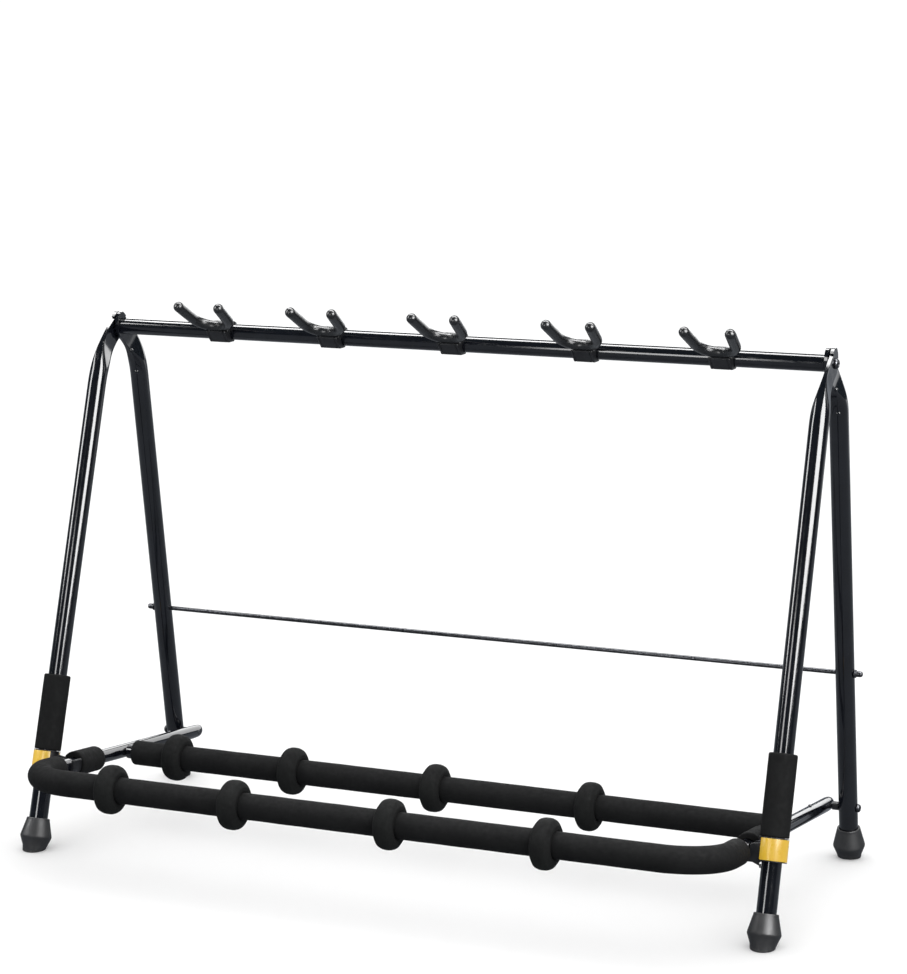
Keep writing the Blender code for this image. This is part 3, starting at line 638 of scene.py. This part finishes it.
def make_collar(side, word):
    """Golden band with rounded edges, clipped round the hub and open at the hook."""
    low = COLLAR_FROM + COLLAR_RIM + AIR
    high = COLLAR_TO - COLLAR_RIM - AIR
    section = rounded([
        (HUB_RADIUS + AIR, low, 0.0), (COLLAR_RADIUS + 0.0001, low, 0.0006), (COLLAR_RADIUS + 0.0001, high, 0.0006),
        (HUB_RADIUS + AIR, high, 0.0),
    ])
    opening = radians(46.0)
    rings = []
    for step in range(97):
        angle = opening + (2.0 * pi - 2.0 * opening) * step / 96
        towards = Vector((-side * cos(angle), sin(angle), 0.0))
        rings.append([towards * radius + Z * up for radius, up in section])
    return piece("golden_collar_" + word, loft(rings), YELLOW, "front_frame",
                 ["collar_" + word], leg_place(side, True))


def make_stop_screw(side, word):
    towards = Vector((-side, -0.36, 0.0)).normalized()
    head = cross_head(0.0027, 0.0021)
    turn = Z.rotation_difference(towards).to_matrix().to_4x4()
    place = leg_place(side, True) @ Matrix.Translation(towards * (LEG_RADIUS + AIR) + Z * 0.0995) @ turn
    return piece("stop_screw_head_" + word, head, STEEL, "front_frame",
                 ["stop_screw_" + word], place)


# ---------------------------------------------------------------- fasteners
def cross_head(radius, height):
    """Pan head with a pressed cross, its underside at z 0."""
    head = turned([
        (0.0, height * 1.12, 0.0), (radius * 0.55, height * 1.05, radius * 0.3), (radius, height * 0.55, radius * 0.3),
        (radius, 0.0, 0.0001), (0.0, 0.0, 0.0),
    ], 40, closed=False)
    slots = []
    for turn in (0.0, pi / 2):
        slot = bmesh.new()
        bmesh.ops.create_cube(slot, size=1.0)
        slot.transform(Matrix.Translation((0, 0, height * 1.15)) @ Matrix.Rotation(turn, 4, "Z")
                       @ Matrix.Diagonal((radius * 1.25, radius * 0.24, height * 0.9, 1.0)))
        slots.append(slot)
    return carved(head, slots)


def button_bolt(head, shank_radius, shank):
    """Button-head bolt with a hexagon socket, the head's underside at z 0, head up."""
    corners = [
        (head - 0.0024, 0.0040, 0.0006), (head - 0.0008, 0.0030, 0.0008), (head, 0.0012, 0.0008), (head, 0.0, 0.0002),
        (shank_radius, 0.0, 0.0001), (shank_radius, -shank + 0.0008, 0.0003), (shank_radius - 0.0008, -shank, 0.0),
    ]
    rings = [ring(Z * up, X, Y, radius, radius, 48) for radius, up in rounded(corners, closed=False)]
    socket = []
    for reach, up in ((0.0025, 0.0041), (0.0023, 0.0037), (0.0023, 0.0016)):
        points = []
        for step in range(48):
            angle = 2.0 * pi * step / 48
            within = (angle % (pi / 3)) - pi / 6
            radius = reach * cos(pi / 6) / cos(within) * 1.08
            points.append(Vector((cos(angle) * radius, sin(angle) * radius, up)))
        socket.append(points)
    return loft(list(reversed(socket)) + rings)


def along_x(side, x, y, z):
    """Frame whose Z axis points outwards along X on that side."""
    return Matrix.Translation((side * x, y, z)) @ Matrix.Rotation(side * pi / 2, 4, "Y")


def make_fasteners(side, word):
    hinge_x = FRONT_PLATE_X + PLATE / 2 + AIR
    piece("hinge_bolt_button_" + word, button_bolt(0.0068, 0.0040, 0.0250), STEEL, "front_frame",
          ["hinge_bolt_" + word], along_x(side, hinge_x, RAIL.y, RAIL.z), 30.0)
    outside = REAR_LEG_X + LEG_RADIUS + AIR
    shank = outside - (ARM_X - TUBE_RADIUS)
    body = body_of("pivot_bolt_" + word)
    piece("pivot_bolt_button_" + word, button_bolt(0.0058, 0.0040, shank), STEEL, body,
          ["pivot_bolt_" + word], along_x(side, outside, PIVOT.y, PIVOT.z), 30.0)
    cap = turned([
        (0.0, 0.0112, 0.0), (0.0022, 0.0110, 0.0006), (0.0036, 0.0098, 0.0008), (0.0040, 0.0075, 0.0006),
        (0.0040, 0.0028, 0.0006), (0.0056, 0.0020, 0.0005), (0.0056, 0.0, 0.0002), (0.0034, 0.0, 0.0), (0.0034, 0.0068, 0.0),
        (0.0, 0.0068, 0.0),
    ], 40, closed=False)
    piece("push_cap_" + word, cap, STEEL, body_of("rod_cap_" + word),
          ["rod_cap_" + word], along_x(side, REAR_LEG_X + LEG_RADIUS + AIR, ROD.y, ROD.z))
    screw_at = LOWER_FRAME @ Matrix.Translation((side * ARM_X, -0.0760, TUBE_RADIUS + AIR))
    piece("arm_screw_head_" + word, cross_head(0.0026, 0.0019), STEEL, "lower_frame",
          ["arm_screw_" + word], screw_at)


def body_of(node):
    """The body that a node of the frame rides on."""
    for name, empty in frame["bodies"].items():
        if frame["nodes"][node].parent == empty:
            return name
    raise ValueError(node)


# ---------------------------------------------------------------- rail, rod, lower frame
def make_rail():
    end = REAR_PLATE_X - PLATE / 2 - AIR
    inner = RAIL_RADIUS - 0.0015
    corners = [(inner, -end, 0.0003), (RAIL_RADIUS, -end, 0.0005), (RAIL_RADIUS, end, 0.0005), (inner, end, 0.0003)]
    bm = turned(corners, 96)
    place = Matrix.Translation((0, RAIL.y, RAIL.z)) @ TO_X
    return piece("rail_tube", bm, PAINT, body_of("top_rail"), ["top_rail"], place)


def make_rod():
    half = REAR_LEG_X + LEG_RADIUS + 0.0060
    bm = turned([(0.0, -half, 0.0), (0.0031, -half, 0.0006), (0.0031, half, 0.0006), (0.0, half, 0.0)], 32, closed=False)
    place = Matrix.Translation((0, ROD.y, ROD.z)) @ TO_X
    return piece("cross_wire", bm, STEEL, body_of("cross_rod"), ["cross_rod"], place)


def u_route(start, steps, gap=0.006):
    """Arm, bend, bar, bend, arm in the lower frame's plane, with a point every gap metres."""
    corner = ARM_X - BEND_RADIUS
    turn = FRONT_BAR_AT - BEND_RADIUS
    right = [(ARM_X, -start - (turn - start) * k / max(1, int((turn - start) / gap)))
             for k in range(max(1, int((turn - start) / gap)))]
    for step in range(steps + 1):
        angle = pi / 2 * step / steps
        right.append((corner + BEND_RADIUS * cos(angle), -turn - BEND_RADIUS * sin(angle)))
    bar_steps = int(corner / gap)
    right += [(corner * (1 - k / bar_steps), -FRONT_BAR_AT) for k in range(1, bar_steps)]
    left = [(-x, y) for x, y in reversed(right)]
    return [Vector((x, y, 0.0)) for x, y in right + [(0.0, -FRONT_BAR_AT)] + left]


def make_lower_tube():
    """Arms and front bar in one bent tube, with closed, rounded rear ends."""
    radius = TUBE_RADIUS
    rows = eased([
        (0.0168, 0.0020, 0.0018), (0.0163, 0.0042, 0.0040), (0.0148, 0.0062, 0.0062), (0.0115, 0.0079, 0.0082),
        (0.0060, 0.0090, 0.0093), (-0.0080, radius, radius), (-0.0200, radius, radius), (-0.0350, radius, radius),
        (-0.0500, radius, radius),
    ], 4)[:-1]
    ends = []
    for y, height, thickness in rows:
        ends.append(ring(Vector((ARM_X, y, 0.7 * (radius - height))), -X, Z, thickness, height, 48))
    middle_rings = tube_sections(u_route(0.050, 24, 0.02), radius, 48, Z)
    mirrored = [[Vector((-p.x, p.y, p.z)) for p in points] for points in reversed(ends)]
    bm = loft(ends + middle_rings + mirrored)
    return piece("lower_tube", bm, PAINT, "lower_frame", ["lower_frame_tube"], LOWER_FRAME)


def make_rear_tube():
    end = ARM_X - TUBE_RADIUS - AIR
    inner = TUBE_RADIUS - 0.0013
    bm = turned([(inner, -end, 0.0), (TUBE_RADIUS, -end, 0.0003), (TUBE_RADIUS, end, 0.0003), (inner, end, 0.0)], 64)
    place = LOWER_FRAME @ Matrix.Translation((0, -REAR_BAR_AT, 0)) @ TO_X
    return piece("rear_tube", bm, PAINT, "lower_frame", ["rear_bar_tube"], place)


# ---------------------------------------------------------------- foam on the lower frame
def make_front_foam():
    """One sleeve over the bar and both bends; its skin wrinkles inside the bends."""
    count = 56
    route = u_route(FRONT_FOAM_END, 26, 0.005)
    inner = tube_sections(route, TUBE_RADIUS + AIR, count, Z)
    rings = []
    ends = ((0.0, 0.0026), (0.0004, 0.0014), (0.0011, 0.0005), (0.0020, 0.0001))
    start, along = route[0], (route[1] - route[0]).normalized()
    for step, inset in ends:
        rings.append(ring(start + along * step, along.cross(Z), Z, FOAM_RADIUS - inset, FOAM_RADIUS - inset, count))
    rings += tube_sections(route, FOAM_RADIUS, count, Z)[1:-1]
    stop, back = route[-1], (route[-2] - route[-1]).normalized()
    for step, inset in reversed(ends):
        rings.append(ring(stop + back * step, (-back).cross(Z), Z, FOAM_RADIUS - inset, FOAM_RADIUS - inset, count))
    bm = loft(rings + list(reversed(inner)), closed=True)
    corner = Vector((ARM_X - BEND_RADIUS, -(FRONT_BAR_AT - BEND_RADIUS), 0.0))
    for vert in bm.verts:
        side = 1.0 if vert.co.x > 0 else -1.0
        centre = Vector((corner.x * side, corner.y, 0.0))
        away = vert.co - centre
        reach = away.xy.length
        skin = reach < BEND_RADIUS - TUBE_RADIUS - 0.004
        if skin and side * away.x > -0.004 and away.y < 0.004:
            angle = atan2(-away.y, side * away.x)
            depth = (BEND_RADIUS - TUBE_RADIUS - 0.004 - reach) / 0.004
            ripple = 0.5 + 0.5 * cos(angle * 34.0 + 2.0 * noise.noise(vert.co / 0.012))
            vert.co -= Vector((away.x, away.y, 0.0)).normalized() * (-0.0005 * min(1.0, depth) * ripple)
    uneven(bm, 0.00022, 0.028, 3.0)
    obj = piece("front_foam", bm, BAR_FOAM, "lower_frame", ["front_bar_foam"], LOWER_FRAME, 60.0)
    return obj


def foam_tube(start, end, radius, bore, count=56, gap=0.006):
    """Sleeve along Z with soft ends and a point every gap metres."""
    corners = rounded([
        (bore, start, 0.0004), (radius, start, 0.0024), (radius, end, 0.0024), (bore, end, 0.0004),
    ])
    profile = []
    for a, b in zip(corners, corners[1:] + corners[:1]):
        steps = max(1, int((b - a).length / gap))
        profile += [a + (b - a) * (step / steps) for step in range(steps)]
    return loft([ring(Z * up, X, Y, r, r, count) for r, up in profile], closed=True)


def make_rear_foam():
    bm = foam_tube(-REAR_FOAM_END_X, REAR_FOAM_END_X, FOAM_RADIUS, TUBE_RADIUS + AIR)
    uneven(bm, 0.00022, 0.028, 9.0)
    place = LOWER_FRAME @ Matrix.Translation((0, -REAR_BAR_AT, 0)) @ TO_X
    obj = piece("rear_foam", bm, BAR_FOAM, "lower_frame", ["rear_bar_foam"], place, 60.0)
    return obj


def make_arm_foam(side, word):
    start, end = ARM_FOAM
    bm = foam_tube(start, end, FOAM_RADIUS, TUBE_RADIUS + AIR, gap=0.004)
    uneven(bm, 0.00020, 0.020, 5.0 + side)
    place = LOWER_FRAME @ Matrix.Translation((side * ARM_X, 0, 0)) @ Matrix.Rotation(pi / 2, 4, "X")
    obj = piece("arm_foam_sleeve_" + word, bm, BAR_FOAM, "lower_frame", ["arm_foam_" + word], place, 60.0)
    return obj


def make_spacer(row, number):
    """Foam disc: crowned rim, wide chamfers and slightly dished faces."""
    node = "%s_spacer_%d" % (row, number)
    bore = FOAM_RADIUS + AIR
    half, radius = SPACER_HALF, SPACER_RADIUS
    corners = [
        (bore, -half + 0.0012, 0.0006), (bore + 0.0022, -half + 0.0004, 0.0010), (radius - 0.0085, -half, 0.0014),
        (radius - 0.0020, -half + 0.0045, 0.0018), (radius, -half + 0.0100, 0.0024), (radius, half - 0.0100, 0.0024),
        (radius - 0.0020, half - 0.0045, 0.0018), (radius - 0.0085, half, 0.0014), (bore + 0.0022, half - 0.0004, 0.0010),
        (bore, half - 0.0012, 0.0006),
    ]
    bm = turned(corners, 80, steps=5)
    bm.normal_update()
    shift = Vector((number * 1.7, 2.0 if row == "front" else 5.0, 0.0))
    for vert in bm.verts:
        if vert.co.xy.length > bore + 0.003:
            vert.co += vert.normal * (0.00028 * noise.noise(vert.co / 0.014 + shift) - 0.0001)
    spin = Matrix.Rotation(number * 1.3, 4, "Z")
    centre = middle(node)
    place = Matrix.Translation(centre) @ Matrix.Rotation(-ARM_RISE, 4, "X") @ TO_X @ spin
    obj = piece(node + "_disc", bm, SPACER_FOAM, node, [node], place, 60.0)
    return obj


# ---------------------------------------------------------------- neck yokes
def clip_outline(inset=0.0):
    """Side of the clip as (y, z) points from the rail's axis; inset thins its outside."""
    seat, bore, outer = FORK_RADIUS + AIR, RAIL_RADIUS + AIR, 0.0146 - inset
    corners = [(-0.0142 + inset, -0.0134 + inset, 0.0010), (0.0010, -0.0134 + inset, 0.0006)]
    for step in range(33):
        angle = radians(-82.0 - 283.0 * step / 32)
        corners.append((bore * cos(angle), bore * sin(angle), 0.0))
    for step in range(17):
        angle = radians(-5.0 + 109.0 * step / 16)
        corners.append((outer * cos(angle), outer * sin(angle), 0.0))
    corners.append((-0.0122, 0.0150 - inset, 0.0006))
    for step in range(19):
        angle = radians(55.0) - FORK_RISE - radians(145.0) * step / 18
        corners.append((FORK_SEAT.x + seat * cos(angle), FORK_SEAT.y + seat * sin(angle), 0.0))
    up = Vector((sin(FORK_RISE), cos(FORK_RISE)))
    lip = Vector((-cos(FORK_RISE), sin(FORK_RISE))) * (0.0010 - inset)
    under = FORK_SEAT - up * seat + lip
    lower = FORK_SEAT - up * (seat + 0.0024 - inset) + lip
    corners += [(under.x, under.y, 0.0), (lower.x, lower.y, 0.0010), (-0.0172 + inset, -0.0095, 0.0025)]
    return rounded(corners, steps=3)


def make_clip(number):
    """Snap-on clip with chamfered ends and a groove that sets off a rib at each end."""
    node = "yoke_clip_%d" % number
    half = []
    for x, inset in ((CLIP_HALF, 0.0005), (CLIP_HALF - 0.0006, 0.0), (0.0119, 0.0), (0.0116, 0.0007),
                     (0.0109, 0.0007), (0.0106, 0.0)):
        half.append((x, inset))
    stations = [(-x, inset) for x, inset in half] + list(reversed(half))
    bm = loft([[Vector((x, p.x, p.y)) for p in clip_outline(inset)] for x, inset in stations])
    place = Matrix.Translation((middle("yoke_fork_%d" % number).x, RAIL.y, RAIL.z))
    return piece("clip_block_%d" % number, bm, PLASTIC, "yoke_%d" % number, [node], place, 30.0)


def make_fork(number):
    """Rubber-covered U with round ends and a fine mould line along both sides."""
    node = "yoke_fork_%d" % number
    turn = pi / 2 - FORK_SPREAD
    flat = []
    for step in range(25):
        angle = turn * step / 24
        flat.append((FORK_BEND * sin(angle), FORK_BEND * (1.0 - cos(angle))))
    end_x, end_reach = flat[-1]
    for step in range(1, 11):
        reach = end_reach + (FORK_REACH - end_reach) * step / 10
        flat.append((end_x + (reach - end_reach) * sin(FORK_SPREAD) / cos(FORK_SPREAD), reach))
    flat = [(-x, reach) for x, reach in reversed(flat[1:])] + flat
    forward = Vector((0.0, -cos(FORK_RISE), sin(FORK_RISE)))
    normal = Vector((0.0, sin(FORK_RISE), cos(FORK_RISE)))
    points = [X * x + forward * reach for x, reach in flat]
    count = 48
    rings = tube_sections(points, FORK_RADIUS, count, normal)
    for end, beyond in ((0, (points[0] - points[1]).normalized()), (-1, (points[-1] - points[-2]).normalized())):
        across = (beyond if end else -beyond).cross(normal).normalized()
        tips = []
        for step in range(1, 9):
            angle = pi / 2 * step / 8.4
            size = FORK_RADIUS * cos(angle)
            tips.append(ring(points[end] + beyond * (FORK_RADIUS * sin(angle)), across, normal, size, size, count))
        rings = rings + tips if end else list(reversed(tips)) + rings
    for points_round in rings:
        centre = sum(points_round, Vector()) / count
        for index in (0, count // 2):
            points_round[index] += (points_round[index] - centre).normalized() * 0.00016
    bm = loft(rings)
    uneven(bm, 0.00010, 0.016, float(number))
    place = Matrix.Translation((middle(node).x, RAIL.y + FORK_SEAT.x, RAIL.z + FORK_SEAT.y))
    return piece("fork_%d" % number, bm, YOKE_RUBBER, "yoke_%d" % number, [node], place, 50.0)


# ---------------------------------------------------------------- all pieces
for side, word in SIDES:
    for front in (True, False):
        make_leg(side, word, front)
        make_foot(side, word, front)
    make_leg_sleeve(side, word)
    make_saddle(side, word)
    make_collar(side, word)
    make_stop_screw(side, word)
    make_fasteners(side, word)
    make_arm_foam(side, word)
make_rail()
make_rod()
make_lower_tube()
make_rear_tube()
make_front_foam()
make_rear_foam()
for row in ("front", "rear"):
    for number in range(1, 5):
        make_spacer(row, number)
for number in range(1, 6):
    make_clip(number)
    make_fork(number)

KEPT = {
    "hinge_washer": PLASTIC, "pivot_spacer": PLASTIC, "rail_plug": STEEL,
}
for name, node in frame["nodes"].items():
    for start, material in KEPT.items():
        if name.startswith(start):
            node.data.materials.clear()
            node.data.materials.append(material)


# ---------------------------------------------------------------- floor, light, camera
def make_floor():
    """White floor that shows darker in reflections, as a swept floor lit only near the rack."""
    look = Look("pale_floor", 0.85, Specular_IOR_Level=0.1)
    tone = look.noise(1.3, 3.0)
    look.colour(look.ramp(tone, [(0.3, (0.915, 0.915, 0.915)), (0.7, (0.935, 0.935, 0.935))]))
    dark = look.tree.nodes.new("ShaderNodeBsdfDiffuse")
    dark.inputs["Color"].default_value = (0.30, 0.32, 0.35, 1.0)
    mix = look.tree.nodes.new("ShaderNodeMixShader")
    path = look.tree.nodes.new("ShaderNodeLightPath")
    look.join(path.outputs["Is Glossy Ray"], mix.inputs[0])
    look.join(look.shader.outputs[0], mix.inputs[1])
    look.join(dark.outputs[0], mix.inputs[2])
    look.join(mix.outputs[0], look.tree.nodes["Material Output"].inputs["Surface"])
    bm = bmesh.new()
    bmesh.ops.create_grid(bm, x_segments=8, y_segments=8, size=120.0)
    mesh = bpy.data.meshes.new("floor")
    bm.to_mesh(mesh)
    bm.free()
    mesh.materials.append(look.material)
    floor = bpy.data.objects.new("floor", mesh)
    floor.location.z = -0.0002
    bpy.context.scene.collection.objects.link(floor)


def make_world():
    """White surroundings, dimmer in reflections so that black parts keep their depth."""
    world = bpy.data.worlds.new("studio")
    bpy.context.scene.world = world
    world.use_nodes = True
    tree = world.node_tree
    bright = tree.nodes["Background"]
    bright.inputs["Color"].default_value = (1.0, 1.0, 1.0, 1.0)
    bright.inputs["Strength"].default_value = 1.20
    dim = tree.nodes.new("ShaderNodeBackground")
    dim.inputs["Color"].default_value = (0.66, 0.84, 1.0, 1.0)
    dim.inputs["Strength"].default_value = 0.10
    mix = tree.nodes.new("ShaderNodeMixShader")
    path = tree.nodes.new("ShaderNodeLightPath")
    tree.links.new(path.outputs["Is Glossy Ray"], mix.inputs[0])
    tree.links.new(bright.outputs[0], mix.inputs[1])
    tree.links.new(dim.outputs[0], mix.inputs[2])
    tree.links.new(mix.outputs[0], tree.nodes["World Output"].inputs["Surface"])


def add_softbox(name, azimuth, elevation, distance, width, height, radiance, glossy_only=True):
    """Area light that faces the rack's middle; azimuth as for the camera."""
    a, e = radians(azimuth), radians(elevation)
    back = Vector((sin(a) * cos(e), -cos(a) * cos(e), sin(e)))
    light = bpy.data.lights.new(name, "AREA")
    light.shape = "RECTANGLE"
    light.size, light.size_y = width, height
    light.energy = radiance * pi * width * height
    obj = bpy.data.objects.new(name, light)
    obj.location = Vector((0.0, 0.0, 0.40)) + back * distance
    obj.rotation_mode = "QUATERNION"
    obj.rotation_quaternion = back.to_track_quat("Z", "Y")
    obj.visible_camera = False
    obj.visible_diffuse = not glossy_only
    obj.visible_glossy = glossy_only
    bpy.context.scene.collection.objects.link(obj)


def make_camera():
    azimuth, elevation, roll = radians(23.718), radians(10.399), radians(-0.279)
    back = Vector((sin(azimuth) * cos(elevation), -cos(azimuth) * cos(elevation), sin(elevation)))
    right = (-back).cross(Z).normalized()
    up = right.cross(-back)
    right, up = right * cos(roll) + up * sin(roll), up * cos(roll) - right * sin(roll)
    data = bpy.data.cameras.new("camera")
    data.sensor_width = 36.0
    data.lens = 2919.84 / 974.0 * 36.0
    data.clip_start, data.clip_end = 0.05, 400.0
    camera = bpy.data.objects.new("camera", data)
    place = Matrix((right, up, back)).transposed().to_4x4()
    place.translation = Vector((-0.0053, RAIL.y, 0.4950)) + back * 3.9342
    camera.matrix_world = place
    bpy.context.scene.collection.objects.link(camera)
    bpy.context.scene.camera = camera


make_floor()
make_world()
add_softbox("overhead_fill", 0.0, 80.0, 3.4, 3.6, 3.0, 0.40, glossy_only=False)
add_softbox("right_strip", 62.0, 29.0, 3.0, 2.00, 2.0, 22.0)
add_softbox("left_strip", -65.0, 25.0, 3.0, 0.80, 1.6, 15.0)
add_softbox("front_strip", -11.0, 12.0, 3.2, 0.80, 1.1, 11.0)
add_softbox("top_strip", 180.0, 76.0, 2.4, 4.0, 0.8, 20.0)
add_softbox("rear_left_card", -172.0, 17.0, 3.4, 4.0, 1.6, 3.6)
add_softbox("rear_right_card", 147.0, -2.0, 3.4, 0.8, 0.7, 1.0)
add_softbox("far_right_strip", 118.0, 26.0, 3.0, 0.7, 1.4, 2.5)
add_softbox("far_left_strip", -118.0, 26.0, 3.0, 0.7, 1.4, 2.5)
make_camera()
bpy.context.scene.view_settings.view_transform = "Standard"
